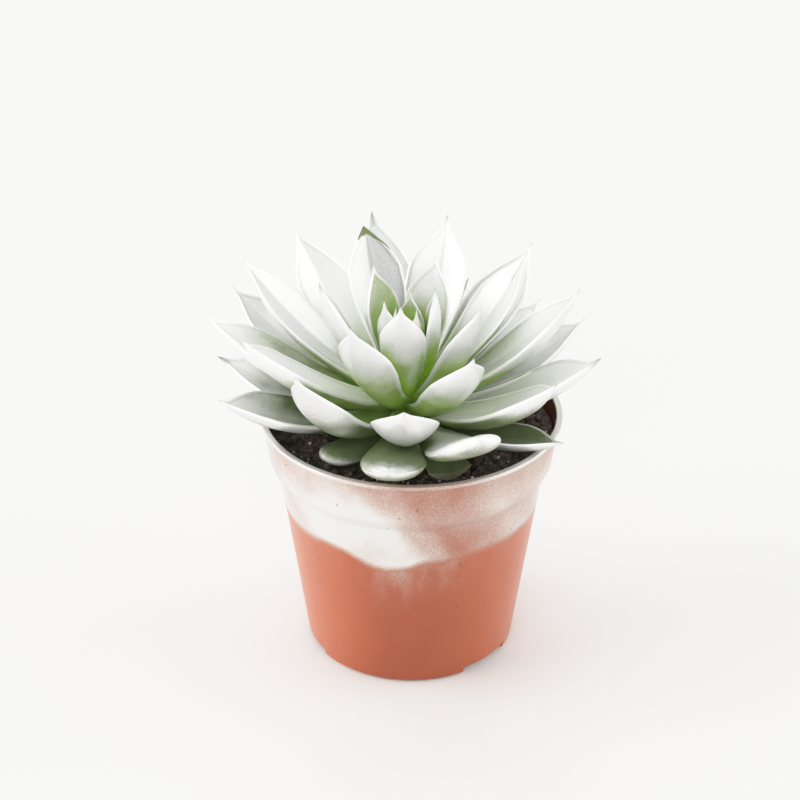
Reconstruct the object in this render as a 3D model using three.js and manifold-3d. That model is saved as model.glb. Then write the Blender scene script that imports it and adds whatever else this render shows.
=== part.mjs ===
// A rosette succulent in a round plastic nursery pot.
// Millimetres, +Z up. The origin is the middle of the pot's underside, and -Y is the front.
// Azimuths are in degrees round the pot's axis: 0 is the front (-Y) and 90 is the right (+X).

import * as THREE from 'three';
import { mergeVertices } from 'three/addons/utils/BufferGeometryUtils.js';
import Module from 'manifold-3d';

const wasm = await Module();
wasm.setup();

// ---------------------------------------------------------------- driving dimensions

const FIT_GAP = 0.3; // clearance between pieces that touch

// Pot: a straight tapered body, a sloping step, a nearly upright collar and a rolled lip.
const POT_HEIGHT = 89;
const LIP_RADIUS = 52.5;
const LIP_HEIGHT = 1.7;
const LIP_EDGE = 0.4;
const COLLAR_TOP_RADIUS = 51.4;
const COLLAR_BOTTOM_RADIUS = 49.3;
const COLLAR_BOTTOM = 72.3;
const BODY_TOP_RADIUS = 46.5;
const BODY_TOP = 68.5;
const FOOT_RADIUS = 36.5;
const FOOT_ROUND = 1.6;
const WALL = 1.1;
const FLOOR = 1.6;
const POT_SIDES = 72;

// Drainage: three arched notches in the foot, each under a raised pad with a slot through it.
const NOTCH_COUNT = 3;
const FIRST_NOTCH = 48;
const NOTCH_SPAN = 34;
const NOTCH_HEIGHT = 3;
const NOTCH_DEPTH = 6.5;
const SLOT_SPAN = 16;
const SLOT_WIDTH = 2.6;

// Soil: fills the pot to a little below the lip and rises slightly towards the stem.
const SOIL_EDGE = 80;
const SOIL_MOUND = 1.2;
const SOIL_LUMP = 0.5;
const SOIL_RINGS = 7;
const SOIL_SIDES = 48;

// Stem: stands in a plain hole in the soil and carries the heart that the leaves grow from.
const STEM_RADIUS = 5;
const STEM_FOOT = 60;
const HEART_RADIUS = 7.5;
const HEART_BOTTOM = 88;
const HEART_TOP = 99.5;
const HEART_SIDES = 16;

// Leaves: leaf 0 is the youngest that shows, and each older one stands a golden angle further on.
const GOLDEN_ANGLE = 137.508;
const FIRST_AZIMUTH = 265;
const YOUNGEST = -2;
const OLDEST = 45;
const LEAN_FORWARD = 4; // degrees that the whole rosette leans to the front
const LEAN_LEFT = 0.8; // and to the left
const LEAN_PIVOT = 86;
const PLANT_X = -1.3; // the stem stands a little off the pot's axis
const PLANT_Y = -0.9;
const MISSING = [37, 40]; // older leaves that have been pulled off

// ---------------------------------------------------------------- the rule for the leaves

const clamp = (value, low, high) => Math.min(high, Math.max(low, value));
const radians = (degrees) => degrees * Math.PI / 180;

// Leaves of this plant that stand off the rule. turn and tilt are degrees added to azimuth and
// pitch, long, wide and thick multiply, curl is the whole upward bend in degrees, blunt runs
// from 0, pointed, to 1, round-ended, cut is the share of the length left where a leaf broke
// off, and a plump leaf has a domed upper face and a thick round end.
const DEPARTURES = new Map([
  [0, { long: 1.08 }],
  [1, { turn: -4 }],
  [2, { turn: -10, long: 0.92 }],
  [3, { turn: 5, wide: 0.88 }],
  [4, { turn: -4, tilt: 6, long: 0.9 }],
  [5, { turn: -5, tilt: 4, long: 0.95 }],
  [6, { turn: -14, wide: 0.96 }],
  [7, { turn: 3, tilt: 3, long: 0.89 }],
  [9, { turn: -8, long: 0.9, wide: 0.95 }],
  [10, { turn: 3, long: 1.04, wide: 1.04 }],
  [11, { turn: -4, curl: 36 }],
  [12, { tilt: -3 }],
  [13, { turn: 2, tilt: -7, long: 1.12 }],
  [14, { turn: -2, tilt: -2, long: 0.92, curl: 40 }],
  [15, { turn: -4 }],
  [16, { turn: -5, tilt: -4, long: 1.08 }],
  [17, { turn: 2, tilt: 2, long: 1.06 }],
  [18, { long: 1.04 }],
  [19, { turn: 2, tilt: -3, long: 1.03, curl: 46, blunt: 0.2 }], // points straight at the front
  [21, { long: 1.04 }],
  [22, { long: 0.96, curl: 42 }],
  [23, { turn: 3, tilt: 4, long: 1.06 }],
  [24, { tilt: 11, curl: 60 }], // curls up most, at the front left
  [25, { long: 0.89 }],
  [27, { turn: 3, tilt: 5, long: 0.96, wide: 0.94, thick: 1.2, curl: 40, plump: true }],
  [28, { turn: 6, tilt: -8, long: 0.92 }],
  [29, { turn: 2, long: 0.95 }],
  [30, { turn: 3, tilt: 9 }],
  // Lies over the lip at the front.
  [32, { turn: 10, tilt: 4, long: 0.97, wide: 0.9, thick: 1.3, curl: 12, plump: true }],
  [33, { turn: 10, tilt: 2, long: 0.93 }],
  [34, { long: 0.96 }],
  // Broken off near the soil.
  [35, { turn: -17, tilt: -12, wide: 0.66, thick: 0.5, curl: 8, cut: 0.57 }],
  [38, { tilt: 3, long: 0.64 }],
  [39, { long: 0.7, curl: 20 }],
  [42, { long: 0.75, curl: 18 }],
  [43, { wide: 0.62, curl: 14 }], // narrow, passes just over the lip at the right
  [44, { curl: 20 }],
  [45, { turn: -14, tilt: -1, long: 0.68, wide: 0.6, curl: 12, plump: true }],
]);

// How leaf n stands and how big it is: young leaves are short, narrow and upright, and old
// ones are long, broad and nearly level.
function leafForm(n) {
  const usualCurl = 14 + 18 * clamp(n / 14, 0, 1);
  const usual = {
    turn: 0, tilt: 0, long: 1, wide: 1, thick: 1, curl: usualCurl, blunt: 0, cut: 1, plump: false,
  };
  const own = { ...usual, ...DEPARTURES.get(n) };
  const age = n / OLDEST;
  const grown = 1 - Math.exp(-n / 9.6);
  const oldAndShort = 20 * clamp((age - 0.6) / 0.4, 0, 1);
  const breadth = 1 - Math.exp(-n / 7.5);
  return {
    azimuth: FIRST_AZIMUTH + GOLDEN_ANGLE * n + own.turn,
    pitch: Math.min(88, 9 + 78 * (1 - age) ** 2.1) + own.tilt,
    length: (29 + 45 * grown - oldAndShort) * own.long,
    halfWidth: Math.max(2, (3.5 + 8.5 * breadth) * own.wide),
    thickness: clamp(2.6 + 2.8 * breadth, 2, 5.4) * own.thick,
    curl: own.curl,
    cup: 0.34 - 0.12 * clamp(breadth, 0, 1),
    rootRadius: clamp(1.5 + 3.5 * age, 1, 5),
    rootHeight: 97.5 - 9.5 * age,
    blunt: own.blunt,
    cut: own.cut,
    plump: own.plump,
  };
}

// Half width and thickness of the blade along its length, as shares of their largest.
const STATIONS = [0, 0.14, 0.3, 0.45, 0.58, 0.7, 0.81, 0.9, 0.96];
const POINTED = [0.42, 0.47, 0.63, 0.83, 0.97, 0.98, 0.77, 0.42, 0.16];
const ROUNDED = [0.42, 0.47, 0.62, 0.8, 0.93, 1, 0.98, 0.84, 0.6];
const FULLNESS = [0.8, 0.9, 1, 1, 0.96, 0.86, 0.72, 0.52, 0.3];
const TIP_DROOP = 0.3; // a pointed tip lies this far below the upper face
const PLUMP_END = 0.84; // share of the length where a plump leaf's end begins to round off
const PLUMP_ABOVE = 0.45; // share of a plump leaf's thickness that lies above its margin
const SHOULDER_OUT = 0.6; // a plump section's shoulders, as shares of its half width
const SHOULDER_UP = 0.84; // and of its bulge above and below the margin

// Linear look-up of a profile at a share of the length.
function profileAt(profile, share) {
  let i = 1;
  while (i < STATIONS.length - 1 && STATIONS[i] < share) i += 1;
  const step = (share - STATIONS[i - 1]) / (STATIONS[i] - STATIONS[i - 1]);
  return THREE.MathUtils.lerp(profile[i - 1], profile[i], step);
}

// ---------------------------------------------------------------- solids from geometry

// A closed geometry as a solid with its faces pointing out.
function solid(geometry) {
  geometry.deleteAttribute('normal');
  geometry.deleteAttribute('uv');
  const merged = mergeVertices(geometry, 1e-4);
  const vertProperties = new Float32Array(merged.attributes.position.array);
  const triVerts = new Uint32Array(merged.index.array);
  if (signedVolume(vertProperties, triVerts) < 0) {
    for (let i = 0; i < triVerts.length; i += 3) {
      [triVerts[i], triVerts[i + 1]] = [triVerts[i + 1], triVerts[i]];
    }
  }
  return new wasm.Manifold(new wasm.Mesh({ numProp: 3, vertProperties, triVerts }));
}

function signedVolume(positions, triangles) {
  const a = new THREE.Vector3();
  const b = new THREE.Vector3();
  const c = new THREE.Vector3();
  let sum = 0;
  for (let i = 0; i < triangles.length; i += 3) {
    a.fromArray(positions, 3 * triangles[i]);
    b.fromArray(positions, 3 * triangles[i + 1]);
    c.fromArray(positions, 3 * triangles[i + 2]);
    sum += a.dot(b.cross(c)) / 6;
  }
  return sum;
}

// Joins solids in pairs, so that each step works on small ones.
function fuse(solids) {
  let left = solids;
  while (left.length > 1) {
    const joined = [];
    for (let i = 0; i < left.length; i += 2) {
      joined.push(i + 1 < left.length ? left[i].add(left[i + 1]) : left[i]);
    }
    left = joined;
  }
  return left[0];
}

// The largest connected skin of a solid: sealed hollows are filled and loose scraps dropped.
function outerSkin(body) {
  const { vertProperties, triVerts } = body.getMesh();
  const parent = Array.from({ length: vertProperties.length / 3 }, (_, i) => i);
  const root = (i) => {
    let top = i;
    while (parent[top] !== top) top = parent[top];
    while (parent[i] !== top) [parent[i], i] = [top, parent[i]];
    return top;
  };
  for (let i = 0; i < triVerts.length; i += 3) {
    parent[root(triVerts[i])] = root(triVerts[i + 1]);
    parent[root(triVerts[i + 1])] = root(triVerts[i + 2]);
  }
  const skins = new Map();
  for (let i = 0; i < triVerts.length; i += 3) {
    const key = root(triVerts[i]);
    if (!skins.has(key)) skins.set(key, []);
    skins.get(key).push(triVerts[i], triVerts[i + 1], triVerts[i + 2]);
  }
  const volume = (triangles) => signedVolume(vertProperties, triangles);
  const largest = [...skins.values()].sort((p, q) => volume(q) - volume(p))[0];
  const geometry = new THREE.BufferGeometry();
  geometry.setAttribute('position', new THREE.BufferAttribute(vertProperties.slice(), 3));
  geometry.setIndex(largest);
  return mergeVertices(geometry, 1e-5);
}

// A lathe turned about Z from [radius, height] pairs.
function turned(outline, sides) {
  const points = outline.map(([radius, height]) => new THREE.Vector2(radius, height));
  const geometry = new THREE.LatheGeometry(points, sides);
  geometry.rotateX(Math.PI / 2);
  return geometry;
}

// A block between two radii, two heights and two azimuths.
function ringSector({ inner, outer, middle, span, bottom, top }) {
  const from = radians(middle - span / 2 - 90);
  const to = radians(middle + span / 2 - 90);
  const shape = new THREE.Shape();
  shape.absarc(0, 0, outer, from, to, false);
  shape.absarc(0, 0, inner, to, from, true);
  shape.closePath();
  const settings = { depth: top - bottom, bevelEnabled: false, curveSegments: 8 };
  const geometry = new THREE.ExtrudeGeometry(shape, settings);
  geometry.translate(0, 0, bottom);
  return solid(geometry);
}

function named(name, geometry, color, roughness, metalness) {
  const material = new THREE.MeshStandardMaterial({ color, roughness, metalness });
  const mesh = new THREE.Mesh(geometry, material);
  mesh.name = name;
  return mesh;
}

// ---------------------------------------------------------------- pot

const notchAzimuths = Array.from(
  { length: NOTCH_COUNT },
  (_, i) => FIRST_NOTCH + 360 * i / NOTCH_COUNT,
);
const padTop = NOTCH_HEIGHT + FLOOR;
const padInner = FOOT_RADIUS - NOTCH_DEPTH - WALL;

// The wall's inside radius at a height.
function insideRadius(height) {
  if (height >= COLLAR_BOTTOM) {
    const share = (height - COLLAR_BOTTOM) / (POT_HEIGHT - COLLAR_BOTTOM);
    return THREE.MathUtils.lerp(COLLAR_BOTTOM_RADIUS, COLLAR_TOP_RADIUS, share) - WALL;
  }
  if (height >= BODY_TOP) {
    const share = (height - BODY_TOP) / (COLLAR_BOTTOM - BODY_TOP);
    return THREE.MathUtils.lerp(BODY_TOP_RADIUS, COLLAR_BOTTOM_RADIUS, share) - WALL;
  }
  return THREE.MathUtils.lerp(FOOT_RADIUS, BODY_TOP_RADIUS, height / BODY_TOP) - WALL;
}

// Rounded lower corner of the foot, from the underside out to the wall.
function footCorner(steps) {
  const middle = FOOT_RADIUS - FOOT_ROUND;
  return Array.from({ length: steps + 1 }, (_, i) => {
    const angle = Math.PI / 2 * i / steps;
    return [middle + FOOT_ROUND * Math.sin(angle), FOOT_ROUND * (1 - Math.cos(angle))];
  });
}

function makePot() {
  const lipBottom = POT_HEIGHT - LIP_HEIGHT;
  const shell = solid(turned([
    [0, 0],
    ...footCorner(3),
    [BODY_TOP_RADIUS, BODY_TOP],
    [COLLAR_BOTTOM_RADIUS, COLLAR_BOTTOM],
    [COLLAR_TOP_RADIUS, lipBottom],
    [LIP_RADIUS, lipBottom + LIP_EDGE],
    [LIP_RADIUS, POT_HEIGHT - LIP_EDGE],
    [LIP_RADIUS - LIP_EDGE, POT_HEIGHT],
    [insideRadius(POT_HEIGHT) + LIP_EDGE, POT_HEIGHT],
    [insideRadius(POT_HEIGHT), POT_HEIGHT - LIP_EDGE],
    [insideRadius(COLLAR_BOTTOM), COLLAR_BOTTOM],
    [insideRadius(BODY_TOP), BODY_TOP],
    [insideRadius(FLOOR), FLOOR],
    [0, FLOOR],
  ], POT_SIDES));
  const pads = notchAzimuths.map((middle) => ringSector({
    inner: padInner,
    outer: insideRadius(FLOOR) + WALL / 2,
    middle,
    span: NOTCH_SPAN + 4,
    bottom: FLOOR / 2,
    top: padTop,
  }));
  const notches = notchAzimuths.map((middle) => ringSector({
    inner: FOOT_RADIUS - NOTCH_DEPTH,
    outer: FOOT_RADIUS + 5,
    middle,
    span: NOTCH_SPAN,
    bottom: -1,
    top: NOTCH_HEIGHT,
  }));
  const slotMiddle = FOOT_RADIUS - NOTCH_DEPTH / 2 - WALL / 2;
  const slots = notchAzimuths.map((middle) => ringSector({
    inner: slotMiddle - SLOT_WIDTH / 2,
    outer: slotMiddle + SLOT_WIDTH / 2,
    middle,
    span: SLOT_SPAN,
    bottom: NOTCH_HEIGHT - 1,
    top: padTop + 1,
  }));
  const body = fuse([shell, ...pads]).subtract(fuse([...notches, ...slots]));
  return named('pot', outerSkin(body), 0xc0664a, 0.55, 0);
}

// ---------------------------------------------------------------- soil

// Soft lumps in the soil's top, by a formula.
function soilLump(x, y) {
  const broad = Math.sin(0.23 * x + 1.1) * Math.sin(0.27 * y + 0.4);
  const fine = Math.sin(0.71 * x - 0.53 * y) * Math.cos(0.49 * x + 0.83 * y);
  return SOIL_LUMP * (0.6 * broad + 0.4 * fine);
}

function makeSoil() {
  const bottom = FLOOR + FIT_GAP;
  const edgeRadius = insideRadius(SOIL_EDGE) - FIT_GAP;
  const top = Array.from({ length: SOIL_RINGS + 1 }, (_, i) => {
    const share = 1 - i / SOIL_RINGS;
    return [edgeRadius * share, SOIL_EDGE + SOIL_MOUND * (1 - share ** 2)];
  });
  const geometry = turned([
    [0, bottom],
    [insideRadius(bottom) - FIT_GAP, bottom],
    [insideRadius(BODY_TOP) - FIT_GAP, BODY_TOP],
    [insideRadius(COLLAR_BOTTOM) - FIT_GAP, COLLAR_BOTTOM],
    ...top,
  ], SOIL_SIDES);
  const points = geometry.attributes.position;
  for (let i = 0; i < points.count; i += 1) {
    const radius = Math.hypot(points.getX(i), points.getY(i));
    if (points.getZ(i) > COLLAR_BOTTOM + 1 && radius < edgeRadius - 1) {
      points.setZ(i, points.getZ(i) + soilLump(points.getX(i), points.getY(i)));
    }
  }
  const padHollows = notchAzimuths.map((middle) => ringSector({
    inner: padInner - FIT_GAP,
    outer: FOOT_RADIUS + 5,
    middle,
    span: NOTCH_SPAN + 6,
    bottom: 0,
    top: padTop + FIT_GAP,
  }));
  const holeRadius = STEM_RADIUS + FIT_GAP;
  const holeBottom = STEM_FOOT - FIT_GAP;
  const holeWall = turned([
    [0, holeBottom],
    [holeRadius, holeBottom],
    [holeRadius, POT_HEIGHT],
    [0, POT_HEIGHT],
  ], HEART_SIDES);
  holeWall.translate(PLANT_X, PLANT_Y, 0);
  const hole = solid(holeWall);
  const body = solid(geometry).subtract(fuse([hole, ...padHollows]));
  return named('soil', outerSkin(body), 0x1c1714, 0.95, 0);
}

// ---------------------------------------------------------------- rosette

// The eight points of a usual leaf's section, as [across, up] pairs: the upper face is a
// channel between raised edges, and the underside is full with a blunt keel.
function bladeSection(form, share) {
  const pointed = profileAt(POINTED, share);
  const rounded = profileAt(ROUNDED, share);
  const half = form.halfWidth * THREE.MathUtils.lerp(pointed, rounded, form.blunt);
  const thick = form.thickness * profileAt(FULLNESS, share);
  const rise = form.cup * half;
  return [
    [half, rise],
    [half * 0.5, rise * 0.25],
    [0, 0],
    [-half * 0.5, rise * 0.25],
    [-half, rise],
    [-half * 0.6, rise * 0.4 - thick * 0.7],
    [0, -thick],
    [half * 0.6, rise * 0.4 - thick * 0.7],
  ];
}

// A plump leaf's section is full on both faces, and stays thick until its end rounds off.
function plumpSection(form, share) {
  const half = form.halfWidth * profileAt(ROUNDED, share);
  const intoEnd = clamp((share - PLUMP_END) / (1 - PLUMP_END), 0, 1);
  const fullness = form.thickness * Math.sqrt(1 - intoEnd ** 2);
  const middle = -PLUMP_ABOVE * form.thickness;
  const top = middle + PLUMP_ABOVE * fullness;
  const bottom = middle - (1 - PLUMP_ABOVE) * fullness;
  const upperShoulder = THREE.MathUtils.lerp(middle, top, SHOULDER_UP);
  const lowerShoulder = THREE.MathUtils.lerp(middle, bottom, SHOULDER_UP);
  return [
    [half, middle],
    [half * SHOULDER_OUT, upperShoulder],
    [0, top],
    [-half * SHOULDER_OUT, upperShoulder],
    [-half, middle],
    [-half * SHOULDER_OUT, lowerShoulder],
    [0, bottom],
    [half * SHOULDER_OUT, lowerShoulder],
  ];
}

// One leaf: rings of eight points along an arched centre line.
function leafGeometry(form) {
  const outward = new THREE.Vector3(Math.sin(radians(form.azimuth)), -Math.cos(radians(form.azimuth)), 0);
  const across = new THREE.Vector3(-outward.y, outward.x, 0);
  const up = new THREE.Vector3(0, 0, 1);
  const curl = radians(form.curl);
  const firstAngle = radians(form.pitch) - curl / 2;
  const bendRadius = form.length / (2 * Math.sin(curl / 2));

  const spineAt = (share) => {
    const angle = firstAngle + curl * share;
    const along = form.rootRadius + bendRadius * (Math.sin(angle) - Math.sin(firstAngle));
    const height = form.rootHeight - bendRadius * (Math.cos(angle) - Math.cos(firstAngle));
    const point = outward.clone().multiplyScalar(along).addScaledVector(up, height);
    const normal = outward.clone().multiplyScalar(-Math.sin(angle)).addScaledVector(up, Math.cos(angle));
    return { point, normal };
  };

  const positions = [];
  const shares = STATIONS.map((share) => share * form.cut);
  for (const share of shares) {
    const { point, normal } = spineAt(share);
    const section = form.plump ? plumpSection(form, share) : bladeSection(form, share);
    for (const [side, lift] of section) {
      const vertex = point.clone().addScaledVector(across, side).addScaledVector(normal, lift);
      positions.push(...vertex.toArray());
    }
  }

  const count = 8;
  const index = [];
  for (let j = 0; j < shares.length - 1; j += 1) {
    for (let i = 0; i < count; i += 1) {
      const a = j * count + i;
      const b = j * count + (i + 1) % count;
      index.push(a, b, b + count, a, b + count, a + count);
    }
  }
  for (let i = 1; i < count - 1; i += 1) index.push(0, i + 1, i);
  const last = (shares.length - 1) * count;
  if (form.cut < 1) {
    for (let i = 1; i < count - 1; i += 1) index.push(last, last + i, last + i + 1);
  } else {
    const { point, normal } = spineAt(1);
    const tipLift = form.plump ? -PLUMP_ABOVE * form.thickness : -TIP_DROOP;
    positions.push(...point.addScaledVector(normal, tipLift).toArray());
    const tip = last + count;
    for (let i = 0; i < count; i += 1) index.push(last + i, last + (i + 1) % count, tip);
  }
  const geometry = new THREE.BufferGeometry();
  geometry.setAttribute('position', new THREE.Float32BufferAttribute(positions, 3));
  geometry.setIndex(index);
  geometry.translate(0, 0, -LEAN_PIVOT);
  geometry.rotateY(-radians(LEAN_LEFT));
  geometry.rotateX(radians(LEAN_FORWARD));
  geometry.translate(0, 0, LEAN_PIVOT);
  return geometry;
}

function makeRosette() {
  const heart = solid(turned([
    [0, STEM_FOOT],
    [STEM_RADIUS - 1, STEM_FOOT],
    [STEM_RADIUS, STEM_FOOT + 4],
    [STEM_RADIUS, HEART_BOTTOM - 3],
    [HEART_RADIUS, HEART_BOTTOM + 2],
    [HEART_RADIUS - 1.5, HEART_TOP - 5],
    [HEART_RADIUS - 4, HEART_TOP - 1],
    [0, HEART_TOP],
  ], HEART_SIDES));
  const leaves = [];
  for (let n = YOUNGEST; n <= OLDEST; n += 1) {
    if (!MISSING.includes(n)) leaves.push(solid(leafGeometry(leafForm(n))));
  }
  const rosette = named('rosette', outerSkin(fuse([heart, ...leaves])), 0xc5c5c2, 0.35, 0.6);
  rosette.position.set(PLANT_X, PLANT_Y, 0);
  return rosette;
}

// ---------------------------------------------------------------- the plant in its pot

const pottedSucculent = new THREE.Group();
pottedSucculent.add(makePot(), makeSoil(), makeRosette());

export default pottedSucculent;
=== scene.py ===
import math

import bpy
import numpy as np
from mathutils import Matrix, Vector, noise
from mathutils.bvhtree import BVHTree


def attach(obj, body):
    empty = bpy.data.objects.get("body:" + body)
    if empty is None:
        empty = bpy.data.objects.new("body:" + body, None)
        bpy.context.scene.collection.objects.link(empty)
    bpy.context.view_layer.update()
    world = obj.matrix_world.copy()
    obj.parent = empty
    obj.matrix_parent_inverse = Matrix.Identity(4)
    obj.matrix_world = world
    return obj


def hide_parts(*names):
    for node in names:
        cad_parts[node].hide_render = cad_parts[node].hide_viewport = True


bl_info = {
    "name": "Potted Silver Succulent",
    "version": (1, 0, 0),
    "blender": (4, 5, 0),
    "location": "3D View > Sidebar > Succulent",
    "description": "Builds a silver-sprayed rosette succulent in a plastic nursery pot",
    "category": "Add Mesh",
}

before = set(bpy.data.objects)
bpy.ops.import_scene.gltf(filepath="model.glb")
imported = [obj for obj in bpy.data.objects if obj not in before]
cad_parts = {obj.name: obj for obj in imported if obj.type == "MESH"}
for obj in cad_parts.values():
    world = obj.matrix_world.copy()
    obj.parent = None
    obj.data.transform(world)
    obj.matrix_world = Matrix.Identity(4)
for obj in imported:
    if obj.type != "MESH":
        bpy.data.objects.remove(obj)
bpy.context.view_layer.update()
MM = 0.001

# ---------------- sizes of the pot (mm, degrees)

POT_HEIGHT = 89.0
LIP_RADIUS = 52.5
LIP_HEIGHT = 1.7
COLLAR_TOP_RADIUS = 51.4
COLLAR_BOTTOM_RADIUS = 49.3
COLLAR_BOTTOM = 72.3
BODY_TOP_RADIUS = 46.5
BODY_TOP = 68.5
FOOT_RADIUS = 36.5
WALL = 1.1
FLOOR = 1.6
NOTCH_AZIMUTHS = (48, 168, 288)
NOTCH_SPAN = 34
NOTCH_HEIGHT = 3.0
NOTCH_DEPTH = 6.5
SLOT_SPAN = 16
SLOT_WIDTH = 2.6
FIT_GAP = 0.3
BEYOND = 5  # how far a cutting block runs past the wall

# The paint on the pot. The heights are in mm. The pairs are (azimuth, share), from the back by the left
# (-90), the front (0) and the right (90) to the back again.
COAT_ROUND = (
    (-180, 0.8), (-100, 0.88), (-78, 0.8), (-60, 0.95), (-28, 0.97), (-14, 0.56), (-2, 0.3), (10, 0.4),
    (28, 0.7), (60, 0.76), (90, 0.7), (180, 0.8),
)
DIP_ROUND = ((-180, 0), (-32, 0), (-9, 1), (12, 0.3), (30, 0), (180, 0))
MIST_ROUND = ((-180, 0.2), (-25, 0.1), (-8, 1), (12, 0.9), (32, 0.15), (180, 0.2))
LIP_ROUND = ((-180, 0.9), (-40, 0.9), (-18, 0.75), (-4, 0.5), (14, 0.55), (36, 0.9), (180, 0.9))
# Painted light: how much paler the plastic is painted round the pot, palest at the sides, for the sheen and
# side light there.
PAINTED_SIDE_LIGHT_ROUND = ((-180, 0.6), (-75, 0.9), (-10, 0), (10, 0), (75, 0.9), (180, 0.6))
SLANT = 0.82  # degrees to the right for each mm below the lip
SLANT_FROM = 87
UNDER_LIP = (76, 86)
DIP_DEPTH = 4.5
RAGGED = 5
BAND_EDGE = (-2.0, 2.6)
MIST_REACH = 26
LIP_PAINT = (87.1, 87.7)
LIP_TOP = (88.2, 88.7)

# ---------------- the plant's rule (mm, degrees)

SOIL_EDGE = 80.0
SOIL_MOUND = 1.2
HEAP = 3.2
HEAP_AZIMUTH = 80
HEAP_SPREAD = 42
STEM_RADIUS = 5.0
STEM_FOOT = 60.0
STEM_STEP = 1.2
GOLDEN_ANGLE = 137.508
FIRST_AZIMUTH = 265
YOUNGEST = -2
OLDEST = 45
MISSING = (37, 40)
LEAN_FORWARD = 4
LEAN_LEFT = 0.8
LEAN_PIVOT = 86
PLANT_AT = Vector((-1.3, -0.9, 0.0))

# Leaves that stand off the rule. turn and tilt are added degrees, long, wide and thick multiply, curl is
# the whole upward bend, blunt runs from 0, pointed, to 1, round-ended, cut is the share that is left,
# and a plump leaf has a domed upper face and a thick round end.
DEPARTURES = {
    0: {"long": 1.08},
    1: {"turn": -4},
    2: {"turn": -10, "long": 0.92},
    3: {"turn": 5, "wide": 0.88},
    4: {"turn": -4, "tilt": 6, "long": 0.9},
    5: {"turn": -5, "tilt": 4, "long": 0.95},
    6: {"turn": -14, "wide": 0.96},
    7: {"turn": 3, "tilt": 3, "long": 0.89},
    9: {"turn": -8, "long": 0.9, "wide": 0.95},
    10: {"turn": 3, "long": 1.04, "wide": 1.04},
    11: {"turn": -4, "curl": 36},
    12: {"tilt": -3},
    13: {"turn": 2, "tilt": -7, "long": 1.12},
    14: {"turn": -2, "tilt": -2, "long": 0.92, "curl": 40},
    15: {"turn": -4},
    16: {"turn": -5, "tilt": -4, "long": 1.08},
    17: {"turn": 2, "tilt": 2, "long": 1.06},
    18: {"long": 1.04},
    19: {"turn": 2, "tilt": -3, "long": 1.03, "curl": 46, "blunt": 0.2},
    21: {"long": 1.04},
    22: {"long": 0.96, "curl": 42},
    23: {"turn": 3, "tilt": 4, "long": 1.06},
    24: {"tilt": 11, "curl": 60},
    25: {"long": 0.89},
    27: {"turn": 3, "tilt": 5, "long": 0.96, "wide": 0.94, "thick": 1.2, "curl": 40, "plump": True},
    28: {"turn": 6, "tilt": -8, "long": 0.92},
    29: {"turn": 2, "long": 0.95},
    30: {"turn": 3, "tilt": 9},
    32: {"turn": 10, "tilt": 4, "long": 0.97, "wide": 0.9, "thick": 1.3, "curl": 12, "plump": True},
    33: {"turn": 10, "tilt": 2, "long": 0.93},
    34: {"long": 0.96},
    35: {"turn": -17, "tilt": -12, "wide": 0.66, "thick": 0.5, "curl": 8, "cut": 0.57},
    38: {"tilt": 3, "long": 0.64},
    39: {"long": 0.7, "curl": 20},
    42: {"long": 0.75, "curl": 18},
    43: {"wide": 0.62, "curl": 14},
    44: {"curl": 20},
    45: {"turn": -14, "tilt": -1, "long": 0.68, "wide": 0.6, "curl": 12, "plump": True},
}

# Half width and thickness of a blade along its length, as shares of their largest.
STATIONS = (0, 0.14, 0.3, 0.45, 0.58, 0.7, 0.81, 0.9, 0.96, 1)
POINTED = (0.42, 0.47, 0.63, 0.83, 0.97, 0.98, 0.77, 0.42, 0.16, 0)
ROUNDED = (0.42, 0.47, 0.62, 0.8, 0.93, 1, 0.98, 0.84, 0.6, 0)
FULLNESS = (0.8, 0.9, 1, 1, 0.96, 0.86, 0.72, 0.52, 0.3, 0)

# Small forms of a blade: heights and lengths in mm, places as shares of the half width or the length.
# The pairs say where something sets in along a blade and over what share of it it grows to the full.
POINT = (0.966, 0.034)
POINT_LENGTH = 2.3
MARGIN_ROUND = 0.45
BEAD_HEIGHT = 0.34
BEAD_AT = 0.955
BEAD_WIDTH = 0.035
GROOVE_DEPTH = 0.07
CREASE_WIDTH = 0.12
KEEL_WIDTH = 0.2
TIP_DROOP = 0.3
DROOP = (0.9, 0.1)
PLUMP_NARROWS = (0.7, 0.3)
PLUMP_END = (0.84, 0.16)
PLUMP_ABOVE = 0.45
PLUMP_BELOW = 0.55
CLEFT = (0.8, 0.12)
CLEFT_DEPTH = 0.5
CLEFT_WIDTH = 0.1

# ---------------- the paint on the leaves

# Share of the usual spray that reached the upper faces of leaves that were sheltered or stood open.
SHELTERED = {
    1: 0.6, 2: 0.5, 3: 0.6, 4: 0.6, 5: 0.32, 7: 0.55, 9: 0.7, 16: 7.0, 22: 4.5, 25: 1.3, 27: 1.3, 29: 0.8,
    30: 2.6, 32: 0.24, 35: 0.16, 43: 0.34, 45: 0.3,
}
OPEN_FACE = 0.24

# How much spray the underside takes to be covered, where it isn't as on the others.
KEELS = {6: 0.3, 9: 0.32, 11: 0.35, 14: 0.32, 19: 0.15, 22: 0.36, 24: 0.36, 27: 0.55, 32: 0.6, 45: 0.5}
USUAL_KEEL = 0.26

# Painted light: leaves whose silver is painted lighter or darker than the others', for the light or shade
# that falls on them.
PAINTED_LEAF_LIGHT = {9: -1.0, 16: 0.7, 18: 0.6, 21: 0.6, 22: 0.8, 25: -0.4, 27: 0.6, 30: 0.7, 32: -0.7, 34: 0.8}

# Painted shade: leaves with a dark brown line painted in the crease along the middle of the upper face, just
# short of the tip.
SHADED_CREASES = (4, 8, 12, 16, 24, 28)

# The leaf whose tip is torn off, the shares of its length between which the scar lies, and how the scar
# slants to the side and lies to the face (degrees).
TORN = 10
SCAR = (0.94, 0.98)
SCAR_SLANT = 14
SCAR_LIE = 24

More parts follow.
